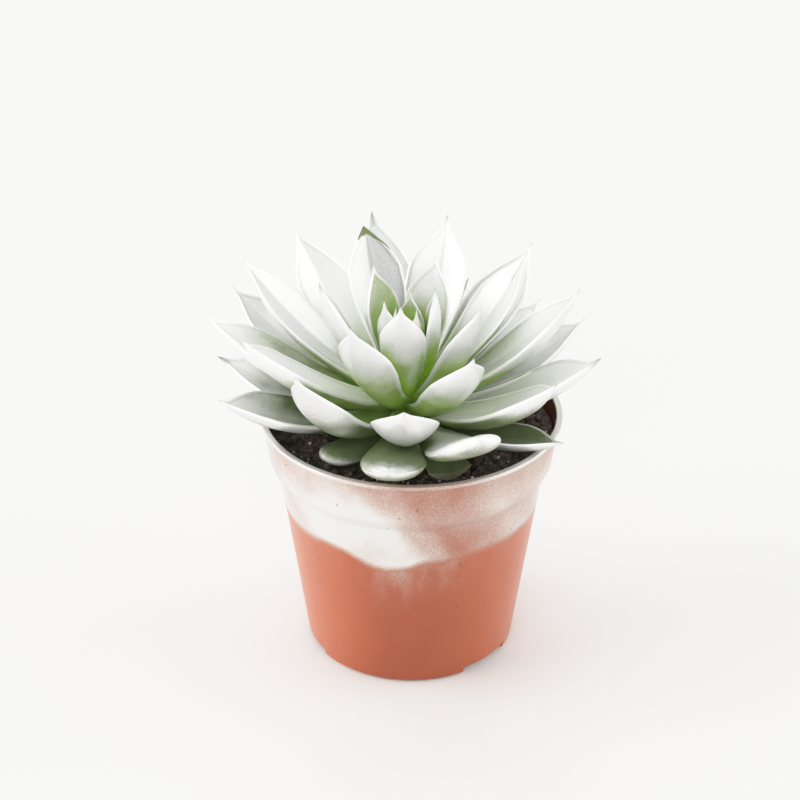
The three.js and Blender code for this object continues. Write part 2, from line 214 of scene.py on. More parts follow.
# Leaves with a dry brown tip: how far it reaches back, as a share of the length.
DRY_TIPS = {
    4: 0.03, 6: 0.018, 8: 0.05, 9: 0.015, 11: 0.015, 14: 0.012, 15: 0.035, 17: 0.02, 20: 0.02, 22: 0.02,
    23: 0.05, 28: 0.02, 30: 0.05, 34: 0.06,
}
USUAL_TIP = 0.014

# The spray comes in rings of beams: (elevation in degrees, strength).
BEAM_RINGS = ((-3, 0.35), (14, 1.3), (34, 1.2), (56, 0.7), (80, 0.4))
BEAMS_ROUND = 11
BEAM_REACH = 90
BEAM_CLEAR = 0.8
GRAZING = 0.03
FULL_DOSE = 13.0
NET = 14  # rings and turns of the net on which the leaves shade each other


def linear(hex_colour):
    """An sRGB hex colour as linear RGBA."""
    parts = [int(hex_colour[i : i + 2], 16) / 255 for i in (1, 3, 5)]
    return [c / 12.92 if c <= 0.04045 else ((c + 0.055) / 1.055) ** 2.4 for c in parts] + [1.0]


# ---------------- settings that a user would change


def colour_setting(name, description, hex_colour):
    """A colour that the user can pick."""
    return bpy.props.FloatVectorProperty(
        name=name, description=description, subtype="COLOR", size=4, min=0, max=1, default=linear(hex_colour)
    )


class PotSettings(bpy.types.PropertyGroup):
    """The nursery pot"""

    plastic: colour_setting("Plastic", "Terracotta-coloured polypropylene", "#984627")
    sides: bpy.props.IntProperty(
        name="Sides", description="Steps round the pot", default=192, min=24, max=360
    )
    paint_edge: bpy.props.FloatProperty(
        name="Paint edge", description="Height of the lower edge of the overspray", unit="LENGTH",
        default=0.0555, min=0.0, max=0.09,
    )


class SoilSettings(bpy.types.PropertyGroup):
    """The soil in the pot"""

    peat: colour_setting("Peat", "Damp dark peat", "#544b40")
    crumbs: bpy.props.IntProperty(name="Crumbs", description="Loose crumbs of peat", default=1500, min=0)
    grit: bpy.props.IntProperty(name="Grit", description="Pale grains", default=420, min=0)
    fibres: bpy.props.IntProperty(name="Fibres", description="Fine dead roots", default=70, min=0)


class LeafSettings(bpy.types.PropertyGroup):
    """The leaves"""

    silver: colour_setting("Silver", "Sprayed aluminium paint", "#ecece9")
    # Partly painted light: the young green is painted bright for the light that shines through the fleshy
    # heart.
    heart_green_and_glow: colour_setting("Heart green", "Young leaf without paint", "#a8d04a")
    grown_green: colour_setting("Grown green", "Grown leaf without paint", "#93ad5e")
    old_green: colour_setting("Old green", "Old leaf without paint", "#626e4b")
    # Also used for the painted shade in the leaves' creases.
    dry_and_crease_shade: colour_setting("Dry tip", "Dried leaf tip", "#5d5340")


class StudioSettings(bpy.types.PropertyGroup):
    """Floor, light and camera"""

    floor: colour_setting("Floor", "White sweep", "#eae9e5")
    lens: bpy.props.FloatProperty(
        name="Lens", description="Focal length", unit="CAMERA", default=101.275, min=1
    )
    sky: bpy.props.FloatProperty(
        name="Sky", description="Strength of the even white light", default=0.58, min=0
    )


# ---------------- small tools


def deselect():
    """Leaves edit mode and selects nothing."""
    if bpy.context.mode != "OBJECT":
        bpy.ops.object.mode_set(mode="OBJECT")
    bpy.ops.object.select_all(action="DESELECT")


def pick(piece):
    """Selects one piece alone."""
    deselect()
    piece.select_set(True)
    bpy.context.view_layer.objects.active = piece


def begin(name):
    """Names the primitive that was just added and goes into edit mode on it."""
    piece = bpy.context.active_object
    piece.name = name
    piece.data.name = name
    bpy.ops.object.mode_set(mode="EDIT")
    return piece


def settle(piece):
    """Puts a piece's place into its mesh and leaves its object at the origin."""
    pick(piece)
    bpy.ops.object.transform_apply(location=True, rotation=True, scale=True)
    return piece


def hand_over(piece, node, material, crease=35):
    """Gives a finished piece its material and tells the frame what it is."""
    settle(piece)
    bpy.ops.object.shade_smooth_by_angle(angle=math.radians(crease))
    piece.data.materials.clear()
    piece.data.materials.append(material)
    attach(piece, "root")
    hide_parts(node)
    return piece


def select_edges(piece, wanted):
    """In edit mode, selects the edges whose middle and direction pass a test."""
    bpy.ops.mesh.select_mode(type="EDGE")
    bpy.ops.mesh.select_all(action="DESELECT")
    bpy.ops.object.mode_set(mode="OBJECT")
    mesh = piece.data
    for edge in mesh.edges:
        a, b = (mesh.vertices[i].co for i in edge.vertices)
        edge.select = wanted((a + b) / 2, b - a)
    bpy.ops.object.mode_set(mode="EDIT")


def cut_lengthwise(piece, cuts):
    """In edit mode, cuts the long edges of a tube that was added 1 long and upright."""
    select_edges(piece, lambda middle, along: abs(along.z) > 0.5)
    bpy.ops.mesh.subdivide(number_cuts=cuts)


def face_out():
    """In edit mode, turns all faces outward."""
    bpy.ops.mesh.select_all(action="SELECT")
    bpy.ops.mesh.normals_make_consistent(inside=False)


def drawn_ring(name, sides, outline, x=0.0, y=0.0):
    """A disc drawn through (radius, height) pairs (mm) about an upright axis, left in edit mode."""
    deselect()
    radius, height = outline[0]
    place = (x * MM, y * MM, height * MM)
    bpy.ops.mesh.primitive_circle_add(vertices=sides, radius=radius * MM, fill_type="NGON", location=place)
    piece = begin(name)
    bpy.ops.mesh.select_all(action="SELECT")
    for next_radius, next_height in outline[1:]:
        rise = (0, 0, (next_height - height) * MM)
        grow = next_radius / radius
        bpy.ops.mesh.extrude_region_move(TRANSFORM_OT_translate={"value": rise})
        bpy.ops.transform.resize(value=(grow, grow, 1), center_override=(x * MM, y * MM, next_height * MM))
        radius, height = next_radius, next_height
    face_out()
    return piece


def bevel_ring(piece, radius, height, width, steps):
    """Rounds the ring of edges at a radius and a height (mm)."""
    near = 0.12 * MM

    def on_ring(middle, along):
        off = math.hypot(math.hypot(middle.x, middle.y) - radius * MM, middle.z - height * MM)
        return off < near and abs(along.z) < 1e-7

    select_edges(piece, on_ring)
    bpy.ops.mesh.bevel(offset=width * MM, segments=steps, affect="EDGES")


def apply_boolean(piece, operation, tool):
    """Joins a block to a piece or cuts it away, and removes the block."""
    pick(piece)
    modifier = piece.modifiers.new("Boolean", "BOOLEAN")
    modifier.operation = operation
    modifier.solver = "EXACT"
    modifier.object = tool
    bpy.ops.object.modifier_apply(modifier=modifier.name)
    bpy.data.objects.remove(tool)


def wire(tree, kind, inputs=None, out=0, **settings):
    """Adds a shader node, sets it, links or fills its inputs, and returns one of its outputs."""
    made = tree.nodes.new("ShaderNode" + kind)
    for key, value in settings.items():
        setattr(made, key, value)
    fill(tree, made, inputs or {})
    return made.outputs[out]


def fill(tree, node, inputs):
    """Links a node's inputs to outputs, or sets them to values."""
    for key, value in inputs.items():
        if isinstance(value, bpy.types.NodeSocket):
            tree.links.new(value, node.inputs[key])
        else:
            node.inputs[key].default_value = value


def maths(tree, operation, *values, clamp=False):
    """One sum on up to three values."""
    return wire(tree, "Math", dict(enumerate(values)), operation=operation, use_clamp=clamp)


def product(tree, value, *others):
    """Multiplies values."""
    for other in others:
        value = maths(tree, "MULTIPLY", value, other)
    return value


def spread(tree, value, low, high, start=0.0, end=1.0, kind="LINEAR"):
    """Carries a value from the range low to high over to start to end, and holds it at their ends."""
    inputs = {"Value": value, 1: low, 2: high, 3: start, 4: end}
    return wire(tree, "MapRange", inputs, interpolation_type=kind)


def speckle(tree, place, scale, detail, roughness=0.5):
    """Noise with so many grains to the metre."""
    inputs = {"Vector": place, "Scale": scale, "Detail": detail, "Roughness": roughness}
    return wire(tree, "TexNoise", inputs)


def blend(tree, share, first, second):
    """Mixes two colours."""
    return wire(tree, "Mix", {0: share, 6: first, 7: second}, out=2, data_type="RGBA")


def bumps(tree, height, strength, depth):
    """Bump of a depth in mm."""
    return wire(tree, "Bump", {"Height": height, "Strength": strength, "Distance": depth * MM})


def ramp(tree, factor, stops, interpolation="LINEAR"):
    """A colour ramp through (place, grey or colour) stops."""
    made = wire(tree, "ValToRGB", {"Fac": factor}).node
    made.color_ramp.interpolation = interpolation
    elements = made.color_ramp.elements
    while len(elements) < len(stops):
        elements.new(0.5)
    for element, (place, shade) in zip(elements, stops):
        element.position = place
        element.color = shade if hasattr(shade, "__len__") else (shade, shade, shade, 1)
    return made.outputs["Color"]


def round_ramp(tree, azimuth, stops, interpolation="EASE"):
    """A value that changes round the pot, through (azimuth in degrees, share) stops."""
    turn = spread(tree, azimuth, -math.pi, math.pi)
    return ramp(tree, turn, [((degrees + 180) / 360, share) for degrees, share in stops], interpolation)


def new_material(name):
    """An empty node material: itself, its tree, its shader, wired to the output, and Object coordinates."""
    material = bpy.data.materials.new(name)
    material.use_nodes = True
    tree = material.node_tree
    tree.nodes.clear()
    shader = wire(tree, "BsdfPrincipled").node
    output = tree.nodes.new("ShaderNodeOutputMaterial")
    tree.links.new(shader.outputs[0], output.inputs["Surface"])
    return material, tree, shader, wire(tree, "TexCoord", out="Object")


# ---------------- materials


def pot_material(settings):
    """Terracotta polypropylene with a soft gloss, and aluminium paint sprayed on its upper part.

    The paint lies in fine droplets, closed on the left, thin right of the middle, and it ends where a tray
    held the pot.
    """
    material, tree, shader, place = new_material("terracotta_polypropylene_with_overspray")
    x, y, z = wire(tree, "SeparateXYZ", {0: place}).node.outputs
    azimuth = maths(tree, "ARCTAN2", x, product(tree, y, -1.0))
    droplets = speckle(tree, place, 2400.0, 2.0, 0.7)
    clouds = speckle(tree, place, 55.0, 3.0, 0.55)
    # The thin part of the coat runs down to the right.
    below = maths(tree, "SUBTRACT", SLANT_FROM * MM, z)
    slanted = maths(tree, "SUBTRACT", azimuth, product(tree, below, math.radians(SLANT) / MM))
    under_lip = spread(tree, z, UNDER_LIP[0] * MM, UNDER_LIP[1] * MM, 1.0, 0.76)
    coat = product(tree, round_ramp(tree, slanted, COAT_ROUND), under_lip)
    # Its lower edge dips at the front and is a little ragged.
    dip = round_ramp(tree, azimuth, DIP_ROUND)
    edge = maths(tree, "MULTIPLY_ADD", dip, -DIP_DEPTH * MM, settings.paint_edge)
    ragged = maths(tree, "MULTIPLY_ADD", clouds, RAGGED * MM, -RAGGED / 2 * MM)
    over = maths(tree, "SUBTRACT", z, maths(tree, "ADD", edge, ragged))
    band = spread(tree, over, BAND_EDGE[0] * MM, BAND_EDGE[1] * MM, kind="SMOOTHSTEP")
    # A mist in upright streaks hangs under the edge.
    mist = maths(tree, "POWER", spread(tree, over, -MIST_REACH * MM, 1.0 * MM), 2.6)
    drawn_out = wire(tree, "VectorMath", {0: place, 1: (1.0, 1.0, 0.45)}, operation="MULTIPLY")
    streaks = spread(tree, speckle(tree, drawn_out, 190.0, 3.0), 0.36, 0.66, 0.14, 0.52)
    below_band = maths(tree, "SUBTRACT", 1.0, band)
    mist = product(tree, mist, streaks, below_band, round_ramp(tree, azimuth, MIST_ROUND))
    coat = maths(tree, "MAXIMUM", product(tree, coat, band), mist)
    cloudy = maths(tree, "MULTIPLY_ADD", clouds, 0.8, -0.4)
    coat = maths(tree, "ADD", coat, product(tree, cloudy, band))
    # The lip caught much paint, least at the front, and none fell on the wall inside.
    lip = spread(tree, z, LIP_PAINT[0] * MM, LIP_PAINT[1] * MM)
    lip = product(tree, lip, round_ramp(tree, azimuth, LIP_ROUND))
    coat = maths(tree, "MAXIMUM", coat, lip)
    flat = wire(tree, "CombineXYZ", {0: x, 1: y})
    radius = wire(tree, "VectorMath", {0: flat}, out="Value", operation="LENGTH")
    lean = (COLLAR_TOP_RADIUS - COLLAR_BOTTOM_RADIUS) / (POT_HEIGHT - COLLAR_BOTTOM)
    at_floor = COLLAR_BOTTOM_RADIUS - WALL / 2 - lean * COLLAR_BOTTOM
    inner_half = maths(tree, "MULTIPLY_ADD", z, lean, at_floor * MM)
    outside = maths(tree, "GREATER_THAN", radius, inner_half)
    on_top = spread(tree, z, LIP_TOP[0] * MM, LIP_TOP[1] * MM)
    outside = maths(tree, "MAXIMUM", outside, on_top)
    outside = maths(tree, "MAXIMUM", outside, maths(tree, "LESS_THAN", z, COLLAR_BOTTOM * MM))
    coat = product(tree, coat, outside)
    # Thin paint is broken into droplets, a closed coat isn't.
    open_coat = maths(tree, "SUBTRACT", 1.0, coat, clamp=True)
    broken = product(tree, open_coat, coat)
    grains = spread(tree, droplets, 0.3, 0.7, -0.9, 0.9)
    cover = maths(tree, "MULTIPLY_ADD", broken, grains, coat, clamp=True)
    # Painted light: the plastic is painted paler at the sides than at the front, for the sheen and side light
    # that fall there.
    tone = ramp(tree, clouds, [(0.3, linear("#904022")), (0.7, settings.plastic)])
    tone = blend(tree, round_ramp(tree, azimuth, PAINTED_SIDE_LIGHT_ROUND, "LINEAR"), tone, linear("#b65f39"))
    # A thin coat is dull and brownish, and only a closed one shines.
    coats = ((0.0, "#b5806c"), (0.3, "#a27767"), (0.65, "#bca69c"), (1.0, "#dedcd8"))
    layer = ramp(tree, cover, [(share, linear(shade)) for share, shade in coats])
    laid = maths(tree, "MULTIPLY", cover, 3.0, clamp=True)
    colour = blend(tree, laid, tone, layer)
    # Painted shade: the wall inside the collar is painted dark, for the shade inside the pot.
    inner_wall_shade = product(tree, maths(tree, "SUBTRACT", 1.0, outside), 0.78)
    colour = blend(tree, inner_wall_shade, colour, linear("#32231d"))
    # Dirt sits in small specks.
    dirt = spread(tree, speckle(tree, place, 330.0, 1.0), 0.75, 0.79, 0.0, 0.6)
    fill(tree, shader, {
        "Base Color": blend(tree, dirt, colour, linear("#5a3b2e")),
        "Metallic": product(tree, maths(tree, "POWER", cover, 2.0), 0.5),
        "Roughness": spread(tree, cover, 0.0, 1.0, 0.3, 0.4),
        "Normal": bumps(tree, speckle(tree, place, 900.0, 3.0), 0.12, 0.1),
    })
    return material


def peat_material(settings):
    """Damp peat: nearly black, dull, crumbly, with browner patches."""
    material, tree, shader, place = new_material("damp_peat")
    patches = speckle(tree, place, 260.0, 6.0, 0.7)
    stops = [(0.35, linear("#28211b")), (0.55, settings.peat), (0.72, linear("#8b765f"))]
    fill(tree, shader, {
        "Base Color": ramp(tree, patches, stops),
        "Roughness": 0.85,
        "Normal": bumps(tree, speckle(tree, place, 1400.0, 5.0, 0.75), 0.8, 0.5),
    })
    return material


def grain_material(name, dark, light, roughness):
    """Mineral grit or plant fibre: dull, mottled between two colours."""
    material, tree, shader, place = new_material(name)
    mottle = speckle(tree, place, 500.0, 4.0)
    fill(tree, shader, {
        "Base Color": ramp(tree, mottle, [(0.35, linear(dark)), (0.65, linear(light))]),
        "Roughness": roughness,
        "Normal": bumps(tree, mottle, 0.4, 0.2),
    })
    return material


def leaf_material(settings):
    """Fleshy leaf under sprayed aluminium paint.

    The paint is satin, with grain of fine droplets, closed on the ends and broken towards the shaded base,
    where the green and waxy leaf shows. Each leaf's mesh says how much paint it caught, and how much light or
    shade is painted on its silver.
    """
    material, tree, shader, place = new_material("aluminium_paint_on_leaf")
    names = ("paint", "age", "dry_and_crease_shade", "painted_light")
    caught, age, dry_and_crease_shade, painted_light = (wire(tree, "Attribute", out="Fac", attribute_name=name) for name in names)
    droplets = speckle(tree, place, 1600.0, 2.0, 0.7)
    clouds = speckle(tree, place, 120.0, 3.0)
    loose = maths(tree, "MULTIPLY_ADD", droplets, 0.5, -0.25)
    patchy = maths(tree, "MULTIPLY_ADD", clouds, 0.6, -0.3)
    amount = maths(tree, "ADD", maths(tree, "ADD", caught, loose), patchy)
    cover = spread(tree, amount, 0.4, 1.4, kind="SMOOTHSTEP")
    cover = product(tree, cover, maths(tree, "SUBTRACT", 1.0, dry_and_crease_shade))
    ages = (
        (0.16, settings.heart_green_and_glow), (0.4, settings.grown_green), (0.62, settings.grown_green),
        (0.9, settings.old_green),
    )
    shade = spread(tree, clouds, 0.3, 0.7, 0.8, 1.15)
    green = wire(tree, "VectorMath", {0: ramp(tree, age, ages), "Scale": shade}, operation="SCALE")
    tissue = blend(tree, dry_and_crease_shade, green, settings.dry_and_crease_shade)
    # Painted light: the silver is painted lighter on the raised margin as a painted highlight, darker in the
    # dip just inside it as painted shade, and lighter or darker on some whole leaves; thin paint is greyer
    # than a full coat.
    silver = spread(tree, droplets, 0.3, 0.7, 0.86, 0.98)
    silver = maths(tree, "MULTIPLY_ADD", painted_light, 0.2, silver)
    silver = product(tree, silver, spread(tree, caught, 0.8, 2.4, 0.9, 1.02))
    silver = wire(tree, "VectorMath", {0: settings.silver[:3], "Scale": silver}, operation="SCALE")
    fill(tree, shader, {
        "Base Color": blend(tree, cover, tissue, silver),
        "Metallic": product(tree, cover, 0.42),
        "Roughness": spread(tree, cover, 0.0, 1.0, 0.44, 0.3),
        "Normal": bumps(tree, droplets, 0.1, 0.1),
    })
    return material


def stage_material(settings):
    """Matt white paper sweep with the faint tooth of paper."""
    material, tree, shader, place = new_material("white_paper")
    tooth = speckle(tree, place, 8.0, 2.0)
    fill(tree, shader, {
        "Base Color": ramp(tree, tooth, [(0.3, linear("#e8e7e4")), (0.7, settings.floor)]),
        "Roughness": 0.9,
    })
    return material


# ---------------- pot


def inside_radius(height):
    """The pot wall's inside radius at a height (mm)."""
    heights = (0, BODY_TOP, COLLAR_BOTTOM, POT_HEIGHT)
    radii = (FOOT_RADIUS, BODY_TOP_RADIUS, COLLAR_BOTTOM_RADIUS, COLLAR_TOP_RADIUS)
    return float(np.interp(height, heights, radii)) - WALL


def ring_block(name, radii, middle, span, heights):
    """A block between two radii, two heights and two azimuths (mm, degrees), to join on or cut away."""
    deselect()
    (inner, outer), (bottom, top) = radii, heights
    centre = ((inner + outer) / 2 * MM, 0, (bottom + top) / 2 * MM)
    bpy.ops.mesh.primitive_plane_add(size=1, location=centre, rotation=(math.pi / 2, 0, 0))
    block = begin(name)
    bpy.ops.mesh.select_all(action="SELECT")
    bpy.ops.transform.resize(value=((outer - inner) * MM, 1, (top - bottom) * MM), center_override=centre)
    bpy.ops.mesh.spin(steps=max(6, span // 2), angle=math.radians(span), center=(0, 0, 0), axis=(0, 0, 1))
    bpy.ops.mesh.select_all(action="SELECT")
    bpy.ops.mesh.remove_doubles(threshold=1e-6)
    bpy.ops.mesh.select_all(action="SELECT")
    bpy.ops.mesh.fill_holes(sides=0)
    face_out()
    settle(block)
    # Azimuth 0 is the front (-Y), so a block that starts on +X is turned back by a quarter.
    block.data.transform(Matrix.Rotation(math.radians(middle + span / 2) - math.pi / 2, 4, "Z"))
    return block


class SUCCULENT_OT_pot(bpy.types.Operator):
    """Models the pot: foot with drainage notches, tapered body, step, collar and rolled lip"""

    bl_idname = "succulent.pot"
    bl_label = "Pot"

    LIP_EDGE = 0.3

    def shell(self, sides):
        """The turned moulding with its edges rounded."""
        lip_bottom = POT_HEIGHT - LIP_HEIGHT
        inner_top = inside_radius(POT_HEIGHT)
        outline = (
            (FOOT_RADIUS, 0), (BODY_TOP_RADIUS, BODY_TOP), (COLLAR_BOTTOM_RADIUS, COLLAR_BOTTOM),
            (COLLAR_TOP_RADIUS, lip_bottom), (LIP_RADIUS, lip_bottom + self.LIP_EDGE),
            (LIP_RADIUS, POT_HEIGHT), (inner_top, POT_HEIGHT), (inside_radius(COLLAR_BOTTOM), COLLAR_BOTTOM),
            (inside_radius(BODY_TOP), BODY_TOP), (inside_radius(FLOOR), FLOOR),
        )
        # Radius, height and width of each rounded edge (mm), and its steps.
        rounded = (
            (FOOT_RADIUS, 0, 1.6, 5), (BODY_TOP_RADIUS, BODY_TOP, 0.4, 2),
            (COLLAR_BOTTOM_RADIUS, COLLAR_BOTTOM, 1.6, 5), (COLLAR_TOP_RADIUS, lip_bottom, 0.25, 2),
            (LIP_RADIUS, lip_bottom + self.LIP_EDGE, 0.45, 3), (LIP_RADIUS, POT_HEIGHT, 0.5, 4),
            (inner_top, POT_HEIGHT, 0.4, 3), (inside_radius(FLOOR), FLOOR, 0.8, 3),
        )
        pot = drawn_ring("pot_shell", sides, outline)
        for radius, height, width, steps in rounded:
            bevel_ring(pot, radius, height, width, steps)
        return settle(pot)

    def execute(self, context):
        settings = context.scene.succulent_pot
        pot = self.shell(settings.sides)
        pad_radii = (FOOT_RADIUS - NOTCH_DEPTH - WALL, inside_radius(FLOOR) + WALL / 2)
        notch_radii = (FOOT_RADIUS - NOTCH_DEPTH, FOOT_RADIUS + BEYOND)
        slot_middle = FOOT_RADIUS - NOTCH_DEPTH / 2 - WALL / 2
        slot_radii = (slot_middle - SLOT_WIDTH / 2, slot_middle + SLOT_WIDTH / 2)
        pad_top = NOTCH_HEIGHT + FLOOR
        blocks = (
            ("UNION", "pad", pad_radii, NOTCH_SPAN + 4, (FLOOR / 2, pad_top)),
            ("DIFFERENCE", "notch", notch_radii, NOTCH_SPAN, (-1, NOTCH_HEIGHT)),
            ("DIFFERENCE", "drain", slot_radii, SLOT_SPAN, (NOTCH_HEIGHT - 1, pad_top + 1)),
        )
        for azimuth in NOTCH_AZIMUTHS:
            for operation, name, radii, span, heights in blocks:
                apply_boolean(pot, operation, ring_block(name, radii, azimuth, span, heights))
        hand_over(pot, "pot", pot_material(settings), 32)
        return {"FINISHED"}


# ---------------- soil


def soil_height(x, y):
    """Height of the soil's top at a place (mm)."""
    share = math.hypot(x, y) / (inside_radius(SOIL_EDGE) - FIT_GAP)
    clods = noise.noise(Vector((0.12 * x, 0.12 * y, 3.0)))
    crumbs = noise.turbulence(Vector((0.5 * x, 0.5 * y, 7.0)), 4, True)
    # It is heaped against the wall on the right.
    off = math.degrees(math.atan2(x, -y)) - HEAP_AZIMUTH
    heap = HEAP * share**3 * math.exp(-((off / HEAP_SPREAD) ** 2))
    return SOIL_EDGE + SOIL_MOUND * (1 - share**2) + 0.9 * clods + 1.1 * (crumbs - 0.6) + heap


def scatter(name, template, places):
    """Copies a small mesh to many places as one piece. Each place is a matrix."""
    points = np.array([v.co for v in template.vertices], float)
    faces = [tuple(p.vertices) for p in template.polygons]
    all_points, all_faces = [], []
    for matrix in places:
        base = len(all_points) * len(points)
        all_points.append(moved(points, matrix))
        all_faces.extend(tuple(i + base for i in face) for face in faces)
    mesh = bpy.data.meshes.new(name)
    mesh.from_pydata(np.concatenate(all_points).tolist(), [], all_faces)
    piece = bpy.data.objects.new(name, mesh)
    bpy.context.scene.collection.objects.link(piece)
    return piece


def open_soil_spot(random, margin):
    """A place on the soil's top, clear of the pot's wall and the stem (mm)."""
    reach = inside_radius(SOIL_EDGE) - margin
    while True:
        x, y = random.uniform(-reach, reach, 2)
        if math.hypot(x, y) < reach and math.hypot(x - PLANT_AT.x, y - PLANT_AT.y) > STEM_RADIUS + margin:
            return x, y


def on_soil(x, y, lift):
    """The matrix that carries a bit to a place over the soil's top (mm)."""
    return Matrix.Translation(Vector((x, y, soil_height(x, y) + lift)) * MM)


def loose_bits(random, count, small, large, flat):
    """Matrices that lay bits of random size on the soil, turned anyhow and sunk by half."""
    places = []
    for _ in range(count):
        size = small + (large - small) * random.random() ** 2.5
        x, y = open_soil_spot(random, 0.6 + size)
        turn = Matrix.Rotation(random.uniform(0, math.tau), 4, Vector(random.normal(size=3)).normalized())
        stretch = Matrix.Diagonal((size * MM, size * random.uniform(0.6, 1) * MM, size * flat * MM, 1))
        places.append(on_soil(x, y, 0.25 * size * flat) @ turn @ stretch)
    return places


class SUCCULENT_OT_soil(bpy.types.Operator):
    """Models the soil: the bed, loose crumbs, pale grit and fine dead roots"""

    bl_idname = "succulent.soil"
    bl_label = "Soil"

    SIDES = 144
    TOP_RINGS = 44
    SEED = 11

    def bed(self, peat):
        """The root ball, with its top worked into clods and a plain hole for the stem."""
        bottom = FLOOR + FIT_GAP
        edge = inside_radius(SOIL_EDGE) - FIT_GAP
        hole = STEM_RADIUS + FIT_GAP
        wall_heights = (bottom, 6.0, BODY_TOP, COLLAR_BOTTOM, SOIL_EDGE - 1.5)
        walls = [(inside_radius(z) - FIT_GAP, z) for z in wall_heights]
        top = [(edge + (hole - edge) * i / self.TOP_RINGS, SOIL_EDGE) for i in range(self.TOP_RINGS + 1)]
        bed = drawn_ring("soil_bed", self.SIDES, walls + top + [(hole, STEM_FOOT - FIT_GAP)])
        settle(bed)
        for vertex in bed.data.vertices:
            x, y, z = vertex.co / MM
            share = (edge - math.hypot(x, y)) / (edge - hole)
            if z > SOIL_EDGE - 0.5:
                z = soil_height(x, y)
            # The hole stands under the plant, off the pot's axis.
            if z > BODY_TOP + 8 or (z < STEM_FOOT and share > 0.99):
                x, y = x + share * PLANT_AT.x, y + share * PLANT_AT.y
            vertex.co = Vector((x, y, z)) * MM
        hand_over(bed, "soil", peat, 60)
        # The drainage pads of the pot stand up into the root ball.
        radii = (FOOT_RADIUS - NOTCH_DEPTH - WALL - FIT_GAP, FOOT_RADIUS + BEYOND)
        heights = (0, NOTCH_HEIGHT + FLOOR + FIT_GAP)
        for azimuth in NOTCH_AZIMUTHS:
            apply_boolean(bed, "DIFFERENCE", ring_block("pad", radii, azimuth, NOTCH_SPAN + 6, heights))

    def crumb(self):
        """One bit of soil, as a rough lump of 80 faces and 1 mm across."""
        deselect()
        bpy.ops.mesh.primitive_ico_sphere_add(subdivisions=2, radius=0.5)
        lump = begin("crumb")
        bpy.ops.mesh.select_all(action="SELECT")
        bpy.ops.transform.vertex_random(offset=0.09, seed=4)
        bpy.ops.object.mode_set(mode="OBJECT")
        return lump

    def fibre(self):
        """One root fibre, 1 long, as a thin bent tube."""
        deselect()
        bpy.ops.mesh.primitive_cylinder_add(vertices=5, radius=0.02, depth=1, rotation=(0, math.pi / 2, 0))
        hair = begin("fibre")
        cut_lengthwise(hair, 7)
        settle(hair)
        for vertex in hair.data.vertices:
            along = vertex.co.x
            vertex.co.y += 0.12 * math.sin(3.1 * along + 0.6)
            vertex.co.z += 0.1 * math.cos(2.6 * along) - 0.08
        return hair

    def fibre_places(self, random, count):
        """Matrices that lay root fibres of 3 to 9 mm on the soil."""
        places = []
        for _ in range(count):
            x, y = open_soil_spot(random, 4)
            size = Matrix.Scale(random.uniform(3, 9) * MM, 4)
            turn = Matrix.Rotation(random.uniform(0, math.tau), 4, "Z")
            turn = turn @ Matrix.Rotation(random.normal() * 0.25, 4, "X")
            places.append(on_soil(x, y, 0.5) @ turn @ size)
        return places

    def execute(self, context):
        settings = context.scene.succulent_soil
        random = np.random.default_rng(self.SEED)
        peat = peat_material(settings)
        stone = grain_material("quartz_grit", "#8d857a", "#d9d3c8", 0.7)
        root = grain_material("dead_root", "#5a4433", "#a08669", 0.8)
        self.bed(peat)
        lump, hair = self.crumb(), self.fibre()
        crumbs = loose_bits(random, settings.crumbs, 0.7, 3.4, 0.8)
        grit = loose_bits(random, settings.grit, 0.5, 1.5, 0.8)
        fibres = self.fibre_places(random, settings.fibres)
        loose = (
            ("soil_crumbs", lump, crumbs, peat), ("soil_grit", lump, grit, stone),
            ("soil_fibres", hair, fibres, root),
        )
        for name, template, places, material in loose:
            hand_over(scatter(name, template.data, places), "soil", material, 60)
        bpy.data.objects.remove(lump)
        bpy.data.objects.remove(hair)
        return {"FINISHED"}


# ---------------- leaves


def clip(values):
    """Values held between 0 and 1."""
    return np.clip(values, 0, 1)


def onset(values, start, length):
    """Rises from 0 to 1 over a length from a start."""
    return clip((values - start) / length)


def leaf_form(n):
    """How leaf n stands and how big it is: young ones short and upright, old ones long and nearly level."""
    usual = {"turn": 0, "tilt": 0, "long": 1, "wide": 1, "thick": 1, "curl": 14 + 18 * clip(n / 14)}
    own = {**usual, "blunt": 0, "cut": 1, "plump": False, **DEPARTURES.get(n, {})}
    age = n / OLDEST
    grown = 1 - math.exp(-n / 9.6)
    breadth = 1 - math.exp(-n / 7.5)
    old_and_short = 20 * onset(age, 0.6, 0.4)
    return {
        **own,
        "age": age,
        "azimuth": FIRST_AZIMUTH + GOLDEN_ANGLE * n + own["turn"],
        "pitch": min(88, 9 + 78 * (1 - age) ** 2.1) + own["tilt"],
        "length": (29 + 45 * grown - old_and_short) * own["long"],
        "half_width": max(2, (3.5 + 8.5 * breadth) * own["wide"]),
        "thickness": min(max(2.6 + 2.8 * breadth, 2), 5.4) * own["thick"],
        "cup": 0.34 - 0.12 * clip(breadth),
        "root_radius": min(max(1.5 + 3.5 * age, 1), 5),
        "root_height": 97.5 - 9.5 * age,
    }


def smooth_profile(values, shares):
    """A smooth curve through a profile's stations, read at shares of the length."""
    places, heights = np.array(STATIONS, float), np.array(values, float)
    steps = np.diff(heights) / np.diff(places)
    slopes = np.concatenate(([steps[0]], (steps[:-1] + steps[1:]) / 2, [steps[-1]]))
    slopes[1:-1][steps[:-1] * steps[1:] <= 0] = 0
    i = np.clip(np.searchsorted(places, shares) - 1, 0, len(steps) - 1)
    width = places[i + 1] - places[i]
    t = (shares - places[i]) / width
    return (
        heights[i] * (1 + 2 * t) * (1 - t) ** 2
        + slopes[i] * width * t * (1 - t) ** 2
        + heights[i + 1] * t**2 * (3 - 2 * t)
        + slopes[i + 1] * width * t**2 * (t - 1)
    )


